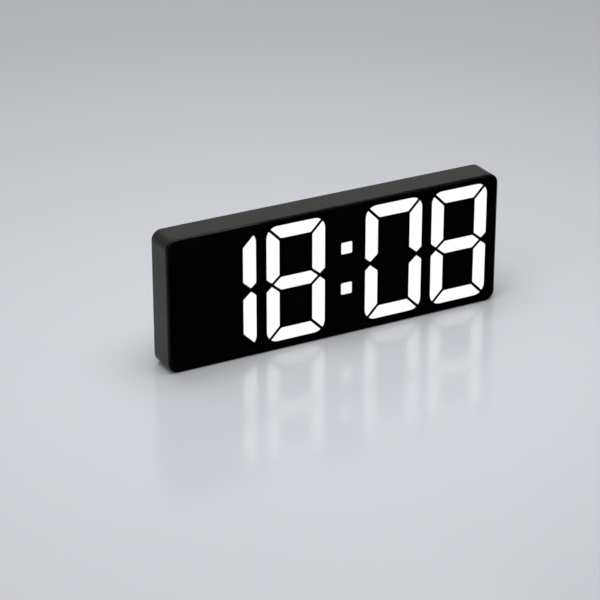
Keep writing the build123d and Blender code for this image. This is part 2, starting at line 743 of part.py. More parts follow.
def timing_crystal():
    """The crystal in its small round can, lying on the board."""
    x = buzzer_x + CHIP_LENGTH / 2 + PART_SPACING + CRYSTAL_DIAMETER / 2
    can = Cylinder(CRYSTAL_DIAMETER / 2, CRYSTAL_LENGTH)
    can = chamfer(can.edges().group_by(Axis.Z)[-1], CHIP_EDGE)
    return Pos(x, board_rear + CRYSTAL_DIAMETER / 2, chip_z) * can


def reservoir_capacitor():
    """The supply's reservoir capacitor, standing on the board beside the buzzer."""
    x = buzzer_x + BUZZER_DIAMETER / 2 + PART_SPACING + CAPACITOR_DIAMETER / 2
    can = rod(x, buzzer_z, CAPACITOR_DIAMETER / 2, board_rear, board_rear + CAPACITOR_LENGTH)
    return chamfer(can.edges().group_by(Axis.Y)[-1], CAPACITOR_EDGE)


def chip_resistors():
    """A column of chip resistors that set the current of the segments."""
    x = buzzer_x - BUZZER_DIAMETER / 2 - PART_SPACING
    places = [margin_z + ((RESISTOR_COUNT - 1) / 2 - i) * RESISTOR_PITCH for i in range(RESISTOR_COUNT)]
    chip = Rectangle(RESISTOR_LENGTH, RESISTOR_WIDTH)
    return [prism(Pos(x, z) * chip, board_rear, board_rear + RESISTOR_HEIGHT) for z in places]


def buzzer():
    """The alarm's buzzer: a round can with its sound hole towards the back."""
    top = board_rear + BUZZER_HEIGHT
    can = rod(buzzer_x, buzzer_z, BUZZER_DIAMETER / 2, board_rear, top)
    can = chamfer(can.edges().group_by(Axis.Y)[-1], BUZZER_EDGE)
    return can - rod(buzzer_x, buzzer_z, BUZZER_HOLE / 2, top - BUZZER_HOLE, top)


def pin_places():
    """The pins of the header between the two boards."""
    return [bay_z + ((HEADER_PINS - 1) / 2 - i) * HEADER_PITCH for i in range(HEADER_PINS)]


def control_board():
    """The small board behind the keys, with holes for its screws and the header's pins."""
    board = block(control_left, control_right, control_front, control_rear, bay_z - control_half,
                  bay_z + control_half)
    hole = SMALL_SCREW_DIAMETER / 2 + SCREW_HOLE_FIT
    board -= [rod(x, z, hole, control_front, control_rear) for x, z in post_places]
    slot = Rectangle(PIN_HOLE, PIN_HOLE)
    return board - [prism(Pos(header_x, z) * slot, control_front, control_rear) for z in pin_places()]


def header_base():
    """The header's plastic base on the main board."""
    half = HEADER_PINS * HEADER_PITCH / 2
    x0, x1 = header_x - HEADER_PITCH / 2, header_x + HEADER_PITCH / 2
    base = block(x0, x1, board_rear, board_rear + HEADER_HEIGHT, bay_z - half, bay_z + half)
    return base - header_pins()


def header_pins():
    """Square pins from the main board through the control board."""
    pin = Rectangle(PIN_SIZE, PIN_SIZE)
    return [prism(Pos(header_x, z) * pin, board_rear, control_rear + PIN_STANDOUT) for z in pin_places()]


def key(z):
    """A key cap with round ends and a flange that keeps it inside the cover."""
    cap = prism(Pos(key_x, z) * key_outline(0), key_seat, rear - KEY_BELOW)
    cap = chamfer(cap.edges().group_by(Axis.Y)[-1], KEY_EDGE)
    return cap + prism(Pos(key_x, z) * key_outline(KEY_FLANGE), key_seat, key_seat + KEY_FLANGE_THICKNESS)


def switch_body(z):
    """The fixed body of a push switch, with a bore for its plunger."""
    top = control_rear + SWITCH_HEIGHT
    body = prism(Pos(key_x, z) * Rectangle(SWITCH_SIZE, SWITCH_SIZE), control_rear, top)
    depth = PLUNGER_DEPTH + PLUNGER_ROOM
    return body - rod(key_x, z, PLUNGER_DIAMETER / 2 + PLUNGER_FIT, top - depth, top)


def switch_plunger(z):
    """The plunger that a key pushes into its switch."""
    return rod(key_x, z, PLUNGER_DIAMETER / 2, control_rear + SWITCH_HEIGHT - PLUNGER_DEPTH, key_seat)


def socket_shell():
    """The socket's drawn metal shell, closed at the board and open at the back of the clock."""
    shell = prism(socket_outline(0), control_rear, socket_mouth)
    return shell - prism(socket_outline(-SOCKET_SHEET), control_rear + SOCKET_BASE, socket_mouth)


def socket_tongue():
    """The contact tongue in the middle of the socket."""
    tongue = Pos(socket_x, socket_z) * Rectangle(TONGUE_THICKNESS, TONGUE_WIDTH)
    return prism(tongue, control_rear + SOCKET_BASE, socket_mouth - TONGUE_RECESS)


def case_screws():
    """Four screws from the wells of the rear cover into the case bosses."""
    size = (CASE_SCREW_DIAMETER, CASE_SCREW_LENGTH, CASE_SCREW_HEAD, CASE_SCREW_HEAD_HEIGHT)
    return [screw(x, z, boss_top + WELL_FLOOR, 1, *size) for x, z in boss_places]


def small_screws(places, seat, direction, length):
    """The small screws that hold one of the boards."""
    size = (SMALL_SCREW_DIAMETER, length, SMALL_SCREW_HEAD, SMALL_SCREW_HEAD_HEIGHT)
    return [screw(x, z, seat, direction, *size) for x, z in places]


def pieces():
    """Every node of the clock with its solids."""
    windows = window_sketches()
    top, middle, bottom = cell_places
    nodes = {
        "front_lens": front_lens(),
        "lens_adhesive": lens_adhesive(),
        "case_shell": case_shell(),
        "rear_cover": rear_cover(),
        "battery_door": battery_door(),
        "display_mask": display_mask(windows),
        "display_light_box": display_light_box(windows),
        "led_chips": led_chips(),
        "main_board": main_board(),
        "main_board_screws": small_screws(board_screw_places, board_rear, 1, board_screw_length),
        "clock_chip": clock_chip(),
        "timing_crystal": timing_crystal(),
        "reservoir_capacitor": reservoir_capacitor(),
        "chip_resistors": chip_resistors(),
        "buzzer": buzzer(),
        "control_board": control_board(),
        "control_board_screws": small_screws(post_places, control_front, -1, SMALL_SCREW_LENGTH),
        "header_base": header_base(),
        "header_pins": header_pins(),
        "switch_bodies": [switch_body(z) for z in key_places],
        "power_socket_shell": socket_shell(),
        "power_socket_tongue": socket_tongue(),
        "positive_plate": contact_plate(1, [bottom], bottom, bottom),
        "negative_plate": contact_plate(-1, [top], None, top),
        "right_link_plate": contact_plate(1, [top, middle], top, None),
        "left_link_plate": contact_plate(-1, [middle, bottom], middle, None),
        "battery_springs": battery_springs(),
        "red_battery_lead": battery_lead(1, bottom, 1),
        "black_battery_lead": battery_lead(-1, top, -1),
        "case_screws": case_screws(),
    }
    nodes.update(segment_groups())
    for index in range(CELL_COUNT):
        nodes[f"battery_cell_{index + 1}"] = battery_cell(index)
    for name, z in zip(key_names, key_places):
        nodes[f"{name}_key"] = key(z)
        nodes[f"{name}_switch_plunger"] = switch_plunger(z)
    return nodes


def solids_of(shape):
    """All solids in a shape or a list of shapes."""
    shapes = shape if isinstance(shape, list) else [shape]
    return [solid for item in shapes for solid in item.solids()]


os.makedirs("parts", exist_ok=True)
for node, shape in pieces().items():
    export_step(Compound(children=solids_of(shape)), f"parts/{node}.step")
print(f"least gap between spring turns {spring_gap():.2f} mm")
print(f"battery door travel {door_travel:.2f} mm")
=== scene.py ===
import math

import bmesh
import bpy
from bpy.props import FloatProperty, FloatVectorProperty, IntProperty, PointerProperty
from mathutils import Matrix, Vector


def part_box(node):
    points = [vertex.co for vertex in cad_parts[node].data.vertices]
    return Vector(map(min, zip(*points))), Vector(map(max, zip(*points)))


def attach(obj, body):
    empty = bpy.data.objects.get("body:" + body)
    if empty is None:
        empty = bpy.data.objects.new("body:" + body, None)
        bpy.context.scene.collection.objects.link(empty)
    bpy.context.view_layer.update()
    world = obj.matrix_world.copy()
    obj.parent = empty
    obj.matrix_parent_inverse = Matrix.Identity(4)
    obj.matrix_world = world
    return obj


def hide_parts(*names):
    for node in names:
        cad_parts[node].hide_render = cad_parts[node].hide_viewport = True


# Digital LED desk clock: finishes for its solids, and the fine pieces that the solids leave plain.
# Metres, +Z up, the front faces -Y, the origin is under the middle of the clock on the table.

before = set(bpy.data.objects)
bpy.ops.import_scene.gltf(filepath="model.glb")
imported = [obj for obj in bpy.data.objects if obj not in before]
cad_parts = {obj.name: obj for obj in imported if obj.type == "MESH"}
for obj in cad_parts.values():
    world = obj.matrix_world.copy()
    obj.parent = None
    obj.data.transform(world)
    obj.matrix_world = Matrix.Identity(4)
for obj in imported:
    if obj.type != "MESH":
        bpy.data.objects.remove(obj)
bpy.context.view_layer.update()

bl_info = {
    "name": "Digital LED Desk Clock",
    "version": (1, 0, 0),
    "blender": (4, 5, 0),
    "location": "View3D > Sidebar > Desk Clock",
    "description": "Finishes a digital desk clock and sets its stage",
    "category": "Object",
}

MM = 0.001
KEYS = ("set", "up", "down", "alarm")
LIT = ("hour_tens_lit", "hour_units_lit", "minute_tens_lit", "minute_units_lit", "colon_dots")
UNLIT = ("hour_tens_dark", "minute_tens_dark")
CELL_SIDES = {1: 1, 2: -1, 3: 1}  # Side that the positive end of each cell points to, along X
RIGHT_ANGLE = math.radians(90)
END_FACE = 0.9  # Least share of its normal along Z on an end face
NOISE_LOW, NOISE_HIGH = 0.35, 0.65  # Range that holds most of a noise texture's values

# Stage, in metres: width and place of each lamp
FLOOR_WIDTH = 8
LAMP_AIM = (0, 0, 0.03)
LAMPS = {"key": (1.0, (-0.75, -0.5, 1.1)), "top": (0.3, (0, -0.02, 0.45)), "rear": (1.2, (0.15, 0.7, 1.3))}
SENSOR_WIDTH = 36


def linear(text):
    """An sRGB hex colour as linear red, green and blue."""
    shares = [int(text[i:i + 2], 16) / 255 for i in (1, 3, 5)]
    return tuple(s / 12.92 if s <= 0.04045 else ((s + 0.055) / 1.055) ** 2.4 for s in shares)


def per_mm(size):
    """The texture scale at which one feature is about this many millimetres."""
    return 1 / (size * MM)


def shade(colour, factor):
    """A colour made lighter or darker, with its alpha."""
    return tuple(min(1.0, c * factor) for c in colour) + (1.0,)


# Sizes and colours that a user would change


def colour_property(name, text, description):
    """A colour with an sRGB hex default."""
    return FloatVectorProperty(name=name, description=description, subtype="COLOR", size=3, min=0, max=1,
                               default=linear(text))


def length_property(name, size, description):
    """A length with a default in millimetres."""
    return FloatProperty(name=name, description=description, unit="LENGTH", min=0, default=size * MM, precision=5)


class CaseFinish(bpy.types.PropertyGroup):
    """Case, rear cover, battery door and keys."""
    colour: colour_property("Case", "#1a1b18", "Colour of the moulded frame")
    rear_colour: colour_property("Rear", "#353633", "Colour of the rear housing and the battery door")
    key_colour: colour_property("Keys", "#1c1d1b", "Colour of the key caps")
    sign_colour: colour_property("Signs", "#c6c6c2", "Colour of the printed signs")
    grain: length_property("Grain", 0.35, "Width of one grain of the moulded texture")
    grain_depth: length_property("Grain depth", 0.02, "Depth of the moulded texture")
    hairline: length_property("Hairline", 0.7, "Width of one hairline round the case")
    sign_size: length_property("Sign size", 1.15, "Radius of a printed sign")
    sign_stroke: length_property("Sign stroke", 0.36, "Width of a line in a printed sign")
    print_thickness: length_property("Print thickness", 0.05, "Thickness of the printed signs")
    arrow_size: length_property("Arrow size", 2.4, "Radius of the arrow on the battery door")
    arrow_drop: length_property("Arrow drop", 21.0, "Distance of the arrow below the top of the battery door")


class DisplayFinish(bpy.types.PropertyGroup):
    """Lens, mask and segments."""
    lens_tint: colour_property("Lens tint", "#595959", "Share of light that the smoked lens lets through")
    lens_ior: FloatProperty(name="Lens IOR", description="How strongly the lens mirrors its surroundings",
                            default=1.05, min=1.0, max=2.0)
    edge_gloss: FloatProperty(name="Edge gloss", description="Share of its full gloss that the lens edge shows",
                              subtype="FACTOR", default=0.3, min=0.0, max=1.0)
    light_colour: colour_property("Light", "#ffffff", "Colour of the lit segments")
    light_strength: FloatProperty(name="Light strength", description="Brightness of the lit segments behind the lens",
                                  default=10.0, min=0.0)


class FittingSizes(bpy.types.PropertyGroup):
    """Screws, springs, cells and socket contacts."""
    recess_width: length_property("Recess width", 2.3, "Width of the cross recess in a screw head")
    recess_bar: length_property("Recess bar", 0.55, "Width of one bar of the cross recess")
    recess_depth: length_property("Recess depth", 0.9, "Depth of the cross recess")
    spring_wire: length_property("Spring wire", 0.5, "Diameter of the spring wire")
    spring_base: length_property("Spring base", 3.3, "Radius of the spring at its plate")
    spring_tip: length_property("Spring tip", 1.9, "Radius of the spring at the cell")
    spring_turns: IntProperty(name="Spring turns", description="Turns of each spring", default=3, min=1)
    sleeve_colour: colour_property("Sleeve", "#3d5f7c", "Colour of the cells' sleeve")
    band_colour: colour_property("Band", "#c9ccd0", "Colour of the band at the positive end")
    lip: length_property("Sleeve lip", 0.7, "Width of the sleeve's turned-in edge")
    contact_width: length_property("Contact width", 0.8, "Width of a contact in the power socket")


class StageSettings(bpy.types.PropertyGroup):
    """Floor, lamps and camera."""
    floor_colour: colour_property("Floor", "#d5d7dc", "Colour of the floor")
    backdrop_colour: colour_property("Backdrop", "#b8b9ba", "Colour behind the floor")
    ambient: FloatProperty(name="Ambient", description="Light from all round", default=0.4, min=0)
    key_power: FloatProperty(name="Key lamp", description="Power of the large lamp on the left", unit="POWER",
                             default=5.5, min=0)
    top_power: FloatProperty(name="Top lamp", description="Power of the lamp overhead", unit="POWER",
                             default=1.15, min=0)
    rear_power: FloatProperty(name="Rear lamp", description="Power of the lamp behind the clock", unit="POWER",
                              default=5.0, min=0)
    azimuth: FloatProperty(name="Azimuth", description="Direction of the camera", unit="ROTATION",
                           default=math.radians(-28.70))
    elevation: FloatProperty(name="Elevation", description="Height of the camera", unit="ROTATION",
                             default=math.radians(24.40))
    distance: length_property("Distance", 1028.9, "Distance of the camera")
    focal_length: FloatProperty(name="Focal length", description="Focal length on a 36 mm sensor", default=146.0)
    target: FloatVectorProperty(name="Target", description="Point that the camera looks at", subtype="TRANSLATION",
                                size=3, default=(-0.01827, -0.0125, 0.02096))


# Small tools


def take(piece):
    """Selects one piece alone and makes it active."""
    bpy.ops.object.select_all(action="DESELECT")
    piece.select_set(True)
    bpy.context.view_layer.objects.active = piece


def begin(name):
    """Names the primitive that was just added and opens it for editing."""
    piece = bpy.context.active_object
    piece.name = name
    piece.data.name = name
    bpy.ops.object.mode_set(mode="EDIT")
    return piece


def choose(piece, test, kind="faces"):
    """Selects the faces or vertices of the open piece that pass a test."""
    mesh = bmesh.from_edit_mesh(piece.data)
    bpy.ops.mesh.select_mode(type="VERT" if kind == "verts" else "FACE")
    bpy.ops.mesh.select_all(action="DESELECT")
    for item in getattr(mesh, kind):
        item.select_set(bool(test(item)))
    mesh.select_flush_mode()
    bmesh.update_edit_mesh(piece.data)


def pull(shift):
    """Extrudes what is selected by a shift."""
    bpy.ops.mesh.extrude_region_move(TRANSFORM_OT_translate={"value": shift})


def close():
    """Ends editing."""
    bpy.ops.object.mode_set(mode="OBJECT")


def modify(piece, kind, **settings):
    """Adds a modifier with its settings and applies it."""
    take(piece)
    modifier = piece.modifiers.new(kind.title(), kind)
    for name, value in settings.items():
        setattr(modifier, name, value)
    bpy.ops.object.modifier_apply(modifier=modifier.name)


def settle(piece, turn=(0, 0, 0), place=(0, 0, 0)):
    """Turns a finished piece, puts it in its place and leaves its object at the origin."""
    take(piece)
    piece.rotation_euler = turn
    piece.location = place
    bpy.ops.object.transform_apply(location=True, rotation=True, scale=True)


def smooth(piece, angle=35):
    """Smooth shading across gentle edges."""
    take(piece)
    bpy.ops.object.shade_smooth_by_angle(angle=math.radians(angle))


def merge(name, pieces):
    """Joins several meshes into one piece."""
    bpy.ops.object.select_all(action="DESELECT")
    for piece in pieces:
        piece.select_set(True)
    bpy.context.view_layer.objects.active = pieces[0]
    bpy.ops.object.join()
    pieces[0].name = name
    pieces[0].data.name = name
    return pieces[0]


def copy_of(piece, name):
    """A copy of a piece with its own mesh."""
    twin = piece.copy()
    twin.data = piece.data.copy()
    twin.name = name
    twin.data.name = name
    bpy.context.scene.collection.objects.link(twin)
    return twin


def dress(material, *nodes):
    """Gives CAD nodes a finish."""
    for name in nodes:
        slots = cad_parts[name].data.materials
        slots.clear()
        slots.append(material)


def middle_of(node):
    """The middle of a CAD node's box."""
    low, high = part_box(node)
    return (low + high) / 2


# Materials


def new_material(name):
    """An empty node material."""
    material = bpy.data.materials.new(name)
    material.use_nodes = True
    material.node_tree.nodes.clear()
    return material, material.node_tree


def add(tree, kind, values=None, links=None, **settings):
    """Adds a node with its settings, its plain socket values and the links into it."""
    made = tree.nodes.new(kind)
    for name, value in settings.items():
        setattr(made, name, value)
    for socket, value in (values or {}).items():
        made.inputs[socket].default_value = value
    for socket, source in (links or {}).items():
        tree.links.new(source, made.inputs[socket])
    return made


def moulded_abs(name, colour, rough, specular, drawn, contrast, grain, depth, hairline):
    """ABS moulded in a tool whose walls are drawn along the case."""
    # Near black, with a soft sheen that greys it at a slant. Fine lines run round the case, a fine grain breaks
    # up highlights, and the edges carry a painted highlight, their colour painted a little lighter. Lines and grain
    # are drawn coarser than real ones so that they show.
    patch, line_length, edge_width = 22, 120, 0.5 * MM
    # Share and lightness of the painted edge highlight, and the change in gloss
    highlight_share, highlight_lightness, gloss_change = 0.35, 2.2, 0.08
    material, tree = new_material(name)
    place = add(tree, "ShaderNodeTexCoord").outputs["Object"]
    fine = add(tree, "ShaderNodeTexNoise", {"Scale": 1 / grain, "Detail": 3.0, "Roughness": 0.65}, {"Vector": place})
    broad = add(tree, "ShaderNodeTexNoise", {"Scale": per_mm(patch), "Detail": 4.0}, {"Vector": place})
    along = add(tree, "ShaderNodeMapping", {"Scale": (per_mm(line_length), 1 / hairline, per_mm(line_length))},
                {"Vector": place})
    lines = add(tree, "ShaderNodeTexNoise", {"Scale": 1.0, "Detail": 3.0, "Roughness": 0.6},
                {"Vector": along.outputs["Vector"]})
    body = add(tree, "ShaderNodeMix", {6: shade(colour, 0.85), 7: shade(colour, 1.15)}, {0: broad.outputs["Fac"]},
               data_type="RGBA")
    both = add(tree, "ShaderNodeMix", {0: drawn}, {2: fine.outputs["Fac"], 3: lines.outputs["Fac"]})
    speck = add(tree, "ShaderNodeMapRange",
                {"From Min": NOISE_LOW, "From Max": NOISE_HIGH, "To Min": 1 - contrast, "To Max": 1 + contrast},
                {"Value": both.outputs[0]})
    grained = add(tree, "ShaderNodeMix", {0: 1.0}, {6: body.outputs[2], 7: speck.outputs["Result"]},
                  data_type="RGBA", blend_type="MULTIPLY")
    # Painted highlight: the colour is painted lighter where the rounded normal turns away from the flat one, along
    # the edges
    rounded = add(tree, "ShaderNodeBevel", {"Radius": edge_width}, samples=4)
    flat = add(tree, "ShaderNodeNewGeometry")
    match = add(tree, "ShaderNodeVectorMath", None,
                {0: rounded.outputs["Normal"], 1: flat.outputs["Normal"]}, operation="DOT_PRODUCT")
    edge = add(tree, "ShaderNodeMapRange",
               {"From Min": 0.995, "From Max": 0.85, "To Min": 0.0, "To Max": highlight_share},
               {"Value": match.outputs["Value"]})
    edge_highlighted = add(tree, "ShaderNodeMix", {7: shade(colour, highlight_lightness)},
               {0: edge.outputs["Result"], 6: grained.outputs[2]}, data_type="RGBA")
    dull = add(tree, "ShaderNodeMapRange",
               {"From Min": NOISE_LOW, "From Max": NOISE_HIGH,
                "To Min": rough - gloss_change, "To Max": rough + gloss_change},
               {"Value": both.outputs[0]})
    relief = add(tree, "ShaderNodeBump", {"Strength": 0.4, "Distance": depth}, {"Height": both.outputs[0]})
    surface = add(tree, "ShaderNodeBsdfPrincipled",
                  {"Specular IOR Level": specular, "IOR": 1.54, "Specular Tint": (1.0, 1.0, 0.87, 1.0)},
                  {"Base Color": edge_highlighted.outputs[2], "Roughness": dull.outputs["Result"],
                   "Normal": relief.outputs["Normal"]})
    add(tree, "ShaderNodeOutputMaterial", None, {"Surface": surface.outputs["BSDF"]})
    return material


def smoked_acrylic(tint, ior, face, back, edge_gloss):
    """Smoked acrylic sheet, moulded and polished, with an anti-glare film on its flat face."""
    # Black until something shines through it, with a faint waviness that makes its reflections uneven. The bare
    # rounded edge behind the face mirrors more than the film does, which draws a thin line round the front.
    margin = 0.03 * MM
    material, tree = new_material("smoked_acrylic")
    place = add(tree, "ShaderNodeTexCoord").outputs["Object"]
    depth = add(tree, "ShaderNodeSeparateXYZ", None, {0: place}).outputs["Y"]
    bare = add(tree, "ShaderNodeMath", {1: (face + back) / 2, 2: (back - face) / 2 - margin}, {0: depth},
               operation="COMPARE")
    gloss = add(tree, "ShaderNodeMath", {1: edge_gloss}, {0: bare.outputs[0]}, operation="MULTIPLY")
    wave = add(tree, "ShaderNodeTexNoise", {"Scale": per_mm(9), "Detail": 2.0}, {"Vector": place})
    relief = add(tree, "ShaderNodeBump", {"Strength": 0.02, "Distance": 0.02 * MM}, {"Height": wave.outputs["Fac"]})
    surface = add(tree, "ShaderNodeBsdfPrincipled",
                  {"Base Color": tuple(tint) + (1.0,), "Roughness": 0.02, "IOR": ior, "Transmission Weight": 1.0,
                   "Coat Roughness": 0.04, "Coat IOR": 1.49},
                  {"Normal": relief.outputs["Normal"], "Coat Weight": gloss.outputs[0]})
    add(tree, "ShaderNodeOutputMaterial", None, {"Surface": surface.outputs["BSDF"]})
    return material


def speckled(name, colour, spot, change, rough, ior=1.5, metallic=0.0, specular=0.5, relief_depth=0.0,
             dulling=0.2):
    """A plain moulded, plated or printed finish with fine spots in its colour, gloss and relief."""
    material, tree = new_material(name)
    place = add(tree, "ShaderNodeTexCoord").outputs["Object"]
    spots = add(tree, "ShaderNodeTexNoise", {"Scale": per_mm(spot), "Detail": 4.0, "Roughness": 0.6},
                {"Vector": place})
    tone = add(tree, "ShaderNodeMix", {6: shade(colour, 1 - change), 7: shade(colour, 1 + change)},
               {0: spots.outputs["Fac"]}, data_type="RGBA")
    dull = add(tree, "ShaderNodeMapRange",
               {"From Min": 0.3, "From Max": 0.7,
                "To Min": rough * (1 - dulling), "To Max": min(1.0, rough * (1 + dulling))},
               {"Value": spots.outputs["Fac"]})
    relief = add(tree, "ShaderNodeBump", {"Strength": 0.4, "Distance": relief_depth * MM},
                 {"Height": spots.outputs["Fac"]})
    surface = add(tree, "ShaderNodeBsdfPrincipled",
                  {"Metallic": metallic, "Specular IOR Level": specular, "IOR": ior},
                  {"Base Color": tone.outputs[2], "Roughness": dull.outputs["Result"],
                   "Normal": relief.outputs["Normal"]})
    add(tree, "ShaderNodeOutputMaterial", None, {"Surface": surface.outputs["BSDF"]})
    return material


def lit_diffuser(colour, strength):
    """Opal acrylic, lit from behind."""
    # An even white glow. Where light is off, the surface is a milky matt white.
    material = speckled("lit_opal_acrylic", linear("#f2f2f0"), 0.6, 0.04, 0.5)
    surface = material.node_tree.nodes["Principled BSDF"]
    surface.inputs["Emission Color"].default_value = tuple(colour) + (1.0,)
    surface.inputs["Emission Strength"].default_value = strength
    material.cycles.emission_sampling = "NONE"
    return material


def solder_mask_board():
    """Glass-fibre board under green solder mask."""
    # Glossy dark green, with paler lines where copper tracks lie under the mask.
    material, tree = new_material("solder_mask_board")
    place = add(tree, "ShaderNodeTexCoord").outputs["Object"]
    turned = add(tree, "ShaderNodeMapping", {"Rotation": (math.radians(90), 0, 0)}, {"Vector": place})
    tracks = add(tree, "ShaderNodeTexBrick",
                 {"Color1": linear("#14512f") + (1.0,), "Color2": linear("#104427") + (1.0,),
                  "Mortar": linear("#2b7a4b") + (1.0,), "Scale": 1.0, "Mortar Size": 0.22 * MM,
                  "Brick Width": 6.5 * MM, "Row Height": 1.3 * MM}, {"Vector": turned.outputs["Vector"]})
    relief = add(tree, "ShaderNodeBump", {"Strength": 0.3, "Distance": 0.04 * MM},
                 {"Height": tracks.outputs["Fac"]})
    surface = add(tree, "ShaderNodeBsdfPrincipled", {"Roughness": 0.28, "IOR": 1.55},
                  {"Base Color": tracks.outputs["Color"], "Normal": relief.outputs["Normal"]})
    add(tree, "ShaderNodeOutputMaterial", None, {"Surface": surface.outputs["BSDF"]})
    return material


def printed_sleeve(side, colour, band):
    """Printed film shrunk onto a cell."""
    # Satin film in one colour, with a pale metallic band at the positive end and a thin line beside it.
    band_start, line_place, line_half_width = 11.5 * MM, 10.2 * MM, 0.35 * MM
    material, tree = new_material("printed_sleeve_right" if side > 0 else "printed_sleeve_left")
    place = add(tree, "ShaderNodeTexCoord").outputs["Object"]
    along = add(tree, "ShaderNodeSeparateXYZ", None, {0: place}).outputs["X"]
    distance = add(tree, "ShaderNodeMath", {1: side}, {0: along}, operation="MULTIPLY").outputs[0]
    banded = add(tree, "ShaderNodeMath", {1: band_start}, {0: distance}, operation="GREATER_THAN").outputs[0]
    line = add(tree, "ShaderNodeMath", {1: line_place, 2: line_half_width}, {0: distance},
               operation="COMPARE").outputs[0]
    either = add(tree, "ShaderNodeMath", None, {0: banded, 1: line}, operation="MAXIMUM").outputs[0]
    shimmer = add(tree, "ShaderNodeTexNoise", {"Scale": per_mm(0.5), "Detail": 3.0}, {"Vector": place})
    paint = add(tree, "ShaderNodeMix", {6: shade(colour, 0.92), 7: shade(colour, 1.08)},
                {0: shimmer.outputs["Fac"]}, data_type="RGBA")
    whole = add(tree, "ShaderNodeMix", {7: tuple(band) + (1.0,)}, {0: either, 6: paint.outputs[2]},
                data_type="RGBA")
    relief = add(tree, "ShaderNodeBump", {"Strength": 0.2, "Distance": 0.02 * MM},
                 {"Height": shimmer.outputs["Fac"]})
    surface = add(tree, "ShaderNodeBsdfPrincipled", {"Roughness": 0.32, "IOR": 1.5},
                  {"Base Color": whole.outputs[2], "Normal": relief.outputs["Normal"]})
    add(tree, "ShaderNodeOutputMaterial", None, {"Surface": surface.outputs["BSDF"]})
    return material


def floor_paint(colour):
    """A smooth painted table."""
    # Pale and even, with just enough gloss to mirror the lit digits faintly.
    return speckled("painted_table", colour, 60, 0.006, 0.16, ior=1.6, dulling=0.03)


# Operators


class ClockOperator(bpy.types.Operator):
    """A step in finishing the clock."""
    bl_options = {"REGISTER", "UNDO"}


class DESKCLOCK_OT_case(ClockOperator):
    """Gives the case, rear cover, battery door and keys their moulded finish"""
    bl_idname = "deskclock.case"
    bl_label = "Finish the Case"

    def execute(self, context):
        sizes = context.scene.clock_case
        surface = (sizes.grain, sizes.grain_depth, sizes.hairline)
        # After each colour: roughness, specular level, share of drawn lines in the texture, contrast
        dress(moulded_abs("satin_abs", sizes.colour, 0.34, 0.18, 0.7, 0.5, *surface), "case_shell")
        dress(moulded_abs("matt_abs", sizes.rear_colour, 0.5, 0.35, 0.0, 0.2, *surface),
              "rear_cover", "battery_door")
        dress(moulded_abs("satin_key_abs", sizes.key_colour, 0.4, 0.4, 0.0, 0.2, *surface),
              *[f"{key}_key" for key in KEYS])
        return {"FINISHED"}


class DESKCLOCK_OT_display(ClockOperator):
    """Gives the lens, mask, segments and light box their finishes"""
    bl_idname = "deskclock.display"
    bl_label = "Finish the Display"

    def execute(self, context):
        looks = context.scene.clock_display
        front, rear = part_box("front_lens")
        dress(smoked_acrylic(looks.lens_tint, looks.lens_ior, front.y, rear.y, looks.edge_gloss), "front_lens")
        dress(lit_diffuser(looks.light_colour, looks.light_strength), *LIT)
        # Unlit segments and the mask are dead black, so that only lit segments show
        dress(speckled("unlit_opal_acrylic", linear("#0d0d0d"), 0.6, 0.1, 0.6, specular=0.1), *UNLIT)
        dress(speckled("black_mask_film", linear("#050505"), 0.3, 0.15, 0.7, specular=0.1), "display_mask")
        # Inside: dull pitted tape, a bright white moulding, and soft yellow drops over the light chips
        dress(speckled("acrylic_foam_tape", linear("#121212"), 0.4, 0.2, 0.9, relief_depth=0.05), "lens_adhesive")
        dress(speckled("white_abs", linear("#e6e5e0"), 0.4, 0.03, 0.55, relief_depth=0.02), "display_light_box")
        dress(speckled("led_phosphor", linear("#f1e6a2"), 0.2, 0.12, 0.45, relief_depth=0.02), "led_chips")
        return {"FINISHED"}


class DESKCLOCK_OT_boards(ClockOperator):
    """Gives the boards and what is soldered to them their finishes"""
    bl_idname = "deskclock.boards"
    bl_label = "Finish the Boards"

    def execute(self, context):
        dress(solder_mask_board(), "main_board", "control_board")
        # Chips look sandy and dull, nylon parts have a low sheen, and screws are pale, bright metal
        mould = speckled("epoxy_moulding", linear("#1b1b1c"), 0.12, 0.15, 0.6, relief_depth=0.02)
        nylon = speckled("black_nylon", linear("#1e1e1f"), 0.25, 0.1, 0.5, relief_depth=0.02)
        dress(mould, "clock_chip", "chip_resistors")
        dress(nylon, "buzzer", "header_base", "switch_bodies", "power_socket_tongue", "reservoir_capacitor")
        dress(nylon, *[f"{key}_switch_plunger" for key in KEYS])
        zinc = speckled("zinc_plated_steel", linear("#b8bbbd"), 0.3, 0.08, 0.32, metallic=1.0, relief_depth=0.01)
        dress(zinc, "main_board_screws", "control_board_screws")
        return {"FINISHED"}


class DESKCLOCK_OT_contacts(ClockOperator):
    """Gives the contacts, pins, socket shell and leads their finishes"""
    bl_idname = "deskclock.contacts"
    bl_label = "Finish the Contacts"

    def execute(self, context):
        # Warm bright plating, and leads with a waxy sheen
        nickel = speckled("nickel_plate", linear("#cfc9bd"), 0.35, 0.06, 0.26, metallic=1.0, relief_depth=0.01)
        dress(nickel, "timing_crystal", "header_pins", "power_socket_shell", "positive_plate", "negative_plate",
              "right_link_plate", "left_link_plate")
        dress(speckled("red_pvc", linear("#b3201c"), 0.5, 0.06, 0.4, relief_depth=0.01), "red_battery_lead")
        dress(speckled("black_pvc", linear("#1c1c1c"), 0.5, 0.1, 0.4, relief_depth=0.01), "black_battery_lead")
        return {"FINISHED"}


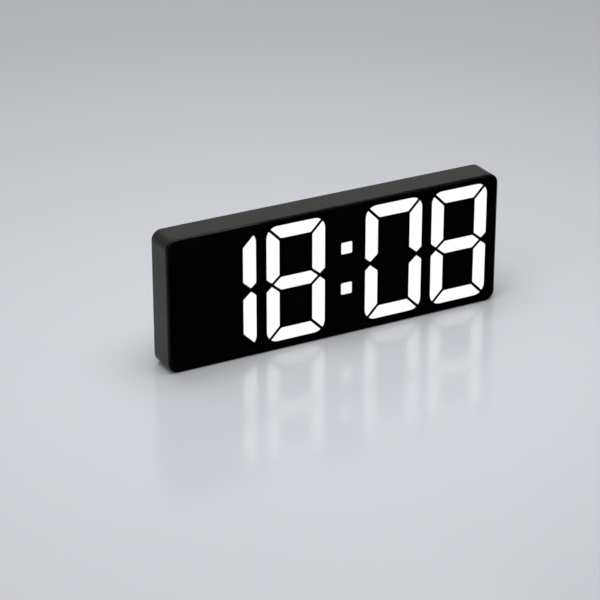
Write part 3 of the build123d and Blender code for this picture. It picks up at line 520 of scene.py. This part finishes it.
class DESKCLOCK_OT_cells(ClockOperator):
    """Models the three cells with their sleeves and terminals"""
    bl_idname = "deskclock.cells"
    bl_label = "Model the Cells"

    def execute(self, context):
        sizes = context.scene.clock_fittings
        # Bright metal ends
        steel = speckled("bright_tinplate", linear("#c8c9c9"), 0.3, 0.05, 0.25, metallic=1.0)
        nub_radius, nub_length, dip = 1.9 * MM, 0.9 * MM, 0.15 * MM
        sides, rounding = 72, 0.28 * MM
        low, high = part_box("battery_cell_1")
        radius, length = (high.z - low.z) / 2, high.x - low.x
        can = length - nub_length
        bpy.ops.object.select_all(action="DESELECT")
        bpy.ops.mesh.primitive_cylinder_add(vertices=sides, radius=radius, depth=can, location=(0, 0, 0))
        cell = begin("cell_pattern")
        choose(cell, lambda face: face.normal.z > END_FACE)
        bpy.ops.mesh.inset(thickness=sizes.lip)
        pull((0, 0, -dip))
        bpy.ops.mesh.inset(thickness=radius - sizes.lip - nub_radius)
        pull((0, 0, nub_length + dip))
        choose(cell, lambda face: face.normal.z < -END_FACE)
        bpy.ops.mesh.inset(thickness=sizes.lip)
        pull((0, 0, dip))
        close()
        modify(cell, "BEVEL", width=rounding, segments=3, limit_method="ANGLE", angle_limit=math.radians(40))
        smooth(cell)
        for index, side in CELL_SIDES.items():
            twin = copy_of(cell, f"sleeved_cell_{index}")
            low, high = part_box(f"battery_cell_{index}")
            start = low.x + can / 2 if side > 0 else high.x - can / 2
            middle = (low + high) / 2
            settle(twin, (0, RIGHT_ANGLE * side, 0), (start, middle.y, middle.z))
            twin.data.materials.append(printed_sleeve(side, sizes.sleeve_colour, sizes.band_colour))
            twin.data.materials.append(steel)
            for face in twin.data.polygons:
                out = math.hypot(face.center.y - middle.y, face.center.z - middle.z)
                face.material_index = int(out < radius - sizes.lip)
            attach(twin, "clock")
            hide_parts(f"battery_cell_{index}")
        bpy.data.objects.remove(cell)
        return {"FINISHED"}


class DESKCLOCK_OT_springs(ClockOperator):
    """Winds the three conical contact springs"""
    bl_idname = "deskclock.springs"
    bl_label = "Wind the Springs"

    def execute(self, context):
        sizes = context.scene.clock_fittings
        plate = abs(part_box("negative_plate")[1].x)
        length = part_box("battery_cell_1")[0].x + plate
        wire = sizes.spring_wire
        rise = (length - wire) / sizes.spring_turns
        wire_sides, turn_steps, weld = 14, 40, 0.001 * MM
        bpy.ops.object.select_all(action="DESELECT")
        bpy.ops.mesh.primitive_circle_add(vertices=wire_sides, radius=wire / 2, location=(0, 0, 0))
        spring = begin("spring_pattern")
        close()
        settle(spring, (RIGHT_ANGLE, 0, 0), (sizes.spring_base, 0, wire / 2))
        modify(spring, "SCREW", axis="Z", screw_offset=rise, iterations=sizes.spring_turns, steps=turn_steps,
               render_steps=turn_steps)
        modify(spring, "SIMPLE_DEFORM", deform_method="TAPER", deform_axis="Z",
               factor=sizes.spring_tip / sizes.spring_base - 1)
        bpy.ops.object.mode_set(mode="EDIT")
        bpy.ops.mesh.select_all(action="SELECT")
        bpy.ops.mesh.remove_doubles(threshold=weld)
        bpy.ops.mesh.fill_holes(sides=0)
        bpy.ops.mesh.select_all(action="SELECT")
        bpy.ops.mesh.normals_make_consistent(inside=False)
        close()
        smooth(spring, 60)
        wound = []
        for index, side in CELL_SIDES.items():
            twin = copy_of(spring, f"wound_spring_{index}")
            middle = middle_of(f"battery_cell_{index}")
            settle(twin, (0, RIGHT_ANGLE * side, 0), (-side * plate, middle.y, middle.z))
            wound.append(twin)
        bpy.data.objects.remove(spring)
        whole = merge("wound_springs", wound)
        # Bright drawn wire
        whole.data.materials.append(
            speckled("nickel_spring_wire", linear("#d2cdc3"), 0.2, 0.06, 0.22, metallic=1.0))
        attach(whole, "clock")
        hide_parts("battery_springs")
        return {"FINISHED"}


class DESKCLOCK_OT_screws(ClockOperator):
    """Models the four case screws with their cross recesses"""
    bl_idname = "deskclock.screws"
    bl_label = "Model the Case Screws"

    def execute(self, context):
        sizes = context.scene.clock_fittings
        low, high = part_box("case_screws")
        head_height, head_radius, shank_radius = 1.5 * MM, 2.0 * MM, 1.1 * MM
        sides, rounding, turn_apart = 56, 0.4 * MM, 17
        shank_share, tip_share, tip_scale = 0.85, 0.15, 0.45
        bar_taper = (0.55, 0.8, 1.0)
        seat = high.y - head_height
        bpy.ops.object.select_all(action="DESELECT")
        bpy.ops.mesh.primitive_cylinder_add(vertices=sides, radius=head_radius, depth=head_height,
                                            location=(0, 0, head_height / 2))
        screw = begin("screw_pattern")
        choose(screw, lambda face: face.normal.z < -END_FACE)
        bpy.ops.mesh.inset(thickness=head_radius - shank_radius)
        pull((0, 0, -(seat - low.y) * shank_share))
        pull((0, 0, -(seat - low.y) * tip_share))
        bpy.ops.transform.resize(value=(tip_scale, tip_scale, 1.0))
        close()
        settle(screw)
        modify(screw, "BEVEL", width=rounding, segments=5, limit_method="ANGLE", angle_limit=math.radians(60))
        for turn in (0, 90):
            bpy.ops.object.select_all(action="DESELECT")
            bpy.ops.mesh.primitive_cube_add(size=1, location=(0, 0, 0))
            bar = begin("recess_bar")
            bpy.ops.mesh.select_all(action="SELECT")
            bpy.ops.transform.resize(value=(sizes.recess_width, sizes.recess_bar, 2 * sizes.recess_depth))
            choose(bar, lambda face: face.normal.z < -END_FACE)
            bpy.ops.transform.resize(value=bar_taper)
            close()
            settle(bar, (0, 0, math.radians(turn)), (0, 0, head_height))
            modify(screw, "BOOLEAN", object=bar, operation="DIFFERENCE", solver="EXACT")
            bpy.data.objects.remove(bar)
        smooth(screw)
        places = [(x, z) for x in (low.x + head_radius, high.x - head_radius)
                  for z in (low.z + head_radius, high.z - head_radius)]
        driven = []
        for number, (x, z) in enumerate(places, 1):
            twin = copy_of(screw, f"driven_screw_{number}")
            settle(twin, (-RIGHT_ANGLE, math.radians(turn_apart * number), 0), (x, seat, z))
            driven.append(twin)
        bpy.data.objects.remove(screw)
        whole = merge("driven_case_screws", driven)
        # Dark metal with a low gleam
        whole.data.materials.append(
            speckled("black_oxide_steel", linear("#5d5e60"), 0.25, 0.1, 0.34, metallic=1.0, relief_depth=0.01))
        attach(whole, "clock")
        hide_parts("case_screws")
        return {"FINISHED"}


class DESKCLOCK_OT_signs(ClockOperator):
    """Prints a sign on each key and an arrow on the battery door"""
    bl_idname = "deskclock.signs"
    bl_label = "Print the Signs"

    # Sides of round outlines
    RING_SIDES, DOME_SIDES, CLAPPER_SIDES = 48, 40, 24

    # Shares of a sign's radius, and the height of a triangle against its width
    TRIANGLE_SCALE, TRIANGLE_HEIGHT = 1.15, 0.85
    DOME, RIM_DROP, RIM_FLARE, CLAPPER = 0.72, 0.75, 1.35, 0.26

    def outline(self, name, vertices, radius):
        """Adds a flat filled outline that faces the back of the clock."""
        bpy.ops.object.select_all(action="DESELECT")
        bpy.ops.mesh.primitive_circle_add(vertices=vertices, radius=radius, fill_type="NGON", location=(0, 0, 0))
        return begin(name)

    def ring(self, name, radius, stroke):
        """Adds a flat ring."""
        piece = self.outline(name, self.RING_SIDES, radius)
        bpy.ops.mesh.select_all(action="SELECT")
        bpy.ops.mesh.inset(thickness=stroke)
        bpy.ops.mesh.delete(type="FACE")
        close()
        return piece

    def triangle(self, name, radius, up):
        """Adds a flat triangle that points up or down."""
        piece = self.outline(name, 3, radius)
        bpy.ops.mesh.select_all(action="SELECT")
        bpy.ops.transform.resize(value=(1.0, up * self.TRIANGLE_HEIGHT, 1.0))
        close()
        return piece

    def bell(self, name, radius):
        """Adds a flat bell: a round top, straight sides, a wide rim and a clapper."""
        piece = self.outline(name, self.DOME_SIDES, radius * self.DOME)
        choose(piece, lambda vert: vert.co.y < -0.02 * radius, "verts")
        bpy.ops.transform.resize(value=(1.0, 0.0, 1.0), center_override=(0, 0, 0))
        bpy.ops.transform.translate(value=(0, -radius * self.RIM_DROP, 0))
        bpy.ops.transform.resize(value=(self.RIM_FLARE, 1.0, 1.0), center_override=(0, 0, 0))
        close()
        clapper = self.outline("clapper", self.CLAPPER_SIDES, radius * self.CLAPPER)
        bpy.ops.mesh.select_all(action="SELECT")
        bpy.ops.transform.translate(value=(0, -radius, 0))
        close()
        return merge(name, [piece, clapper])

    def execute(self, context):
        sizes = context.scene.clock_case
        # Flat pale grey print, a little uneven
        paint = speckled("pad_printing_ink", sizes.sign_colour, 0.15, 0.08, 0.6)
        signs = {
            "set": self.ring("set_sign", sizes.sign_size, sizes.sign_stroke),
            "up": self.triangle("up_sign", sizes.sign_size * self.TRIANGLE_SCALE, 1),
            "down": self.triangle("down_sign", sizes.sign_size * self.TRIANGLE_SCALE, -1),
            "alarm": self.bell("alarm_sign", sizes.sign_size),
        }
        jobs = [(sign, f"{key}_key", middle_of(f"{key}_key").z) for key, sign in signs.items()]
        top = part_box("battery_door")[1].z
        jobs.append((self.triangle("door_arrow", sizes.arrow_size, 1), "battery_door", top - sizes.arrow_drop))
        for sign, carrier, z in jobs:
            take(sign)
            bpy.ops.object.mode_set(mode="EDIT")
            bpy.ops.mesh.select_all(action="SELECT")
            bpy.ops.mesh.normals_make_consistent(inside=False)
            close()
            modify(sign, "SOLIDIFY", thickness=sizes.print_thickness, offset=0)
            settle(sign, (RIGHT_ANGLE, 0, math.radians(180)), (middle_of(carrier).x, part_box(carrier)[1].y, z))
            sign.data.materials.append(paint)
            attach(sign, carrier)
        return {"FINISHED"}


class DESKCLOCK_OT_socket(ClockOperator):
    """Lays the contacts on the tongue of the power socket"""
    bl_idname = "deskclock.socket"
    bl_label = "Model the Socket Contacts"

    def execute(self, context):
        sizes = context.scene.clock_fittings
        low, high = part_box("power_socket_tongue")
        middle = (low + high) / 2
        count, thickness, back = 4, 0.08 * MM, 0.6 * MM
        end_room, rounding = 0.4, 0.03 * MM
        pitch = (high.z - low.z) / (count + end_room)
        strips = []
        for i in range(count):
            for side in (-1, 1):
                bpy.ops.object.select_all(action="DESELECT")
                bpy.ops.mesh.primitive_cube_add(size=1, location=(0, 0, 0))
                strip = begin(f"contact_strip_{i}")
                bpy.ops.mesh.select_all(action="SELECT")
                bpy.ops.transform.resize(value=(2 * thickness, high.y - low.y - back, sizes.contact_width))
                close()
                modify(strip, "BEVEL", width=rounding, segments=2)
                x = high.x if side > 0 else low.x
                settle(strip, place=(x, middle.y - back / 2, middle.z + (i - (count - 1) / 2) * pitch))
                strips.append(strip)
        whole = merge("socket_contacts", strips)
        # Bright yellow metal
        whole.data.materials.append(speckled("gold_flash", linear("#d9b45a"), 0.3, 0.06, 0.24, metallic=1.0))
        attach(whole, "clock")
        return {"FINISHED"}


class DESKCLOCK_OT_stage(ClockOperator):
    """Sets the floor, the lamps, the world and the camera"""
    bl_idname = "deskclock.stage"
    bl_label = "Set the Stage"

    def lamp(self, name, power, size, place):
        """Adds a square lamp that points at the clock."""
        bpy.ops.object.light_add(type="AREA", location=place)
        lamp = bpy.context.active_object
        lamp.name = name
        lamp.data.energy = power
        lamp.data.size = size
        lamp.rotation_euler = (Vector(place) - Vector(LAMP_AIM)).to_track_quat("Z", "Y").to_euler()

    def execute(self, context):
        looks = context.scene.clock_stage
        scene = context.scene
        bpy.ops.object.select_all(action="DESELECT")
        bpy.ops.mesh.primitive_plane_add(size=FLOOR_WIDTH, location=(0, 0, 0))
        floor = context.active_object
        floor.name = "floor"
        floor.data.materials.append(floor_paint(looks.floor_colour))
        for name, (size, place) in LAMPS.items():
            self.lamp(f"{name}_lamp", getattr(looks, f"{name}_power"), size, place)

        world = bpy.data.worlds.new("studio")
        scene.world = world
        world.use_nodes = True
        tree = world.node_tree
        tree.nodes.clear()
        path = add(tree, "ShaderNodeLightPath")
        seen = add(tree, "ShaderNodeMath", None,
                   {0: path.outputs["Is Camera Ray"], 1: path.outputs["Is Glossy Ray"]}, operation="MAXIMUM")
        seen = add(tree, "ShaderNodeMath", None,
                   {0: seen.outputs[0], 1: path.outputs["Is Transmission Ray"]}, operation="MAXIMUM")
        level = add(tree, "ShaderNodeMapRange", {"To Min": looks.ambient, "To Max": 1.0},
                    {"Value": seen.outputs[0]})
        sky = add(tree, "ShaderNodeBackground", {"Color": tuple(looks.backdrop_colour) + (1.0,)},
                  {"Strength": level.outputs["Result"]})
        add(tree, "ShaderNodeOutputWorld", None, {"Surface": sky.outputs["Background"]})

        back = Vector((math.sin(looks.azimuth) * math.cos(looks.elevation),
                       -math.cos(looks.azimuth) * math.cos(looks.elevation), math.sin(looks.elevation)))
        bpy.ops.object.camera_add(location=Vector(looks.target) + back * looks.distance)
        camera = context.active_object
        camera.rotation_euler = back.to_track_quat("Z", "Y").to_euler()
        camera.data.sensor_width = SENSOR_WIDTH
        camera.data.lens = looks.focal_length
        scene.camera = camera
        scene.view_settings.view_transform = "Standard"
        return {"FINISHED"}


class DESKCLOCK_PT_panel(bpy.types.Panel):
    """Lists the steps in finishing the clock"""
    bl_label = "Desk Clock"
    bl_idname = "DESKCLOCK_PT_panel"
    bl_space_type = "VIEW_3D"
    bl_region_type = "UI"
    bl_category = "Desk Clock"

    def draw(self, context):
        for step in OPERATORS:
            self.layout.operator(step.bl_idname)


GROUPS = {"clock_case": CaseFinish, "clock_display": DisplayFinish, "clock_fittings": FittingSizes,
          "clock_stage": StageSettings}
OPERATORS = (DESKCLOCK_OT_case, DESKCLOCK_OT_display, DESKCLOCK_OT_boards, DESKCLOCK_OT_contacts,
             DESKCLOCK_OT_cells, DESKCLOCK_OT_springs, DESKCLOCK_OT_screws, DESKCLOCK_OT_signs,
             DESKCLOCK_OT_socket, DESKCLOCK_OT_stage)


def register():
    """Registers the settings, the steps and the panel."""
    for name, group in GROUPS.items():
        bpy.utils.register_class(group)
        setattr(bpy.types.Scene, name, PointerProperty(type=group))
    for item in OPERATORS + (DESKCLOCK_PT_panel,):
        bpy.utils.register_class(item)


def unregister():
    """Removes the panel, the steps and the settings."""
    for item in (DESKCLOCK_PT_panel,) + OPERATORS[::-1]:
        bpy.utils.unregister_class(item)
    for name, group in GROUPS.items():
        delattr(bpy.types.Scene, name)
        bpy.utils.unregister_class(group)


def main():
    """Runs every step in order."""
    register()
    bpy.ops.deskclock.case()
    bpy.ops.deskclock.display()
    bpy.ops.deskclock.boards()
    bpy.ops.deskclock.contacts()
    bpy.ops.deskclock.cells()
    bpy.ops.deskclock.springs()
    bpy.ops.deskclock.screws()
    bpy.ops.deskclock.signs()
    bpy.ops.deskclock.socket()
    bpy.ops.deskclock.stage()


if __name__ == "__main__":
    main()
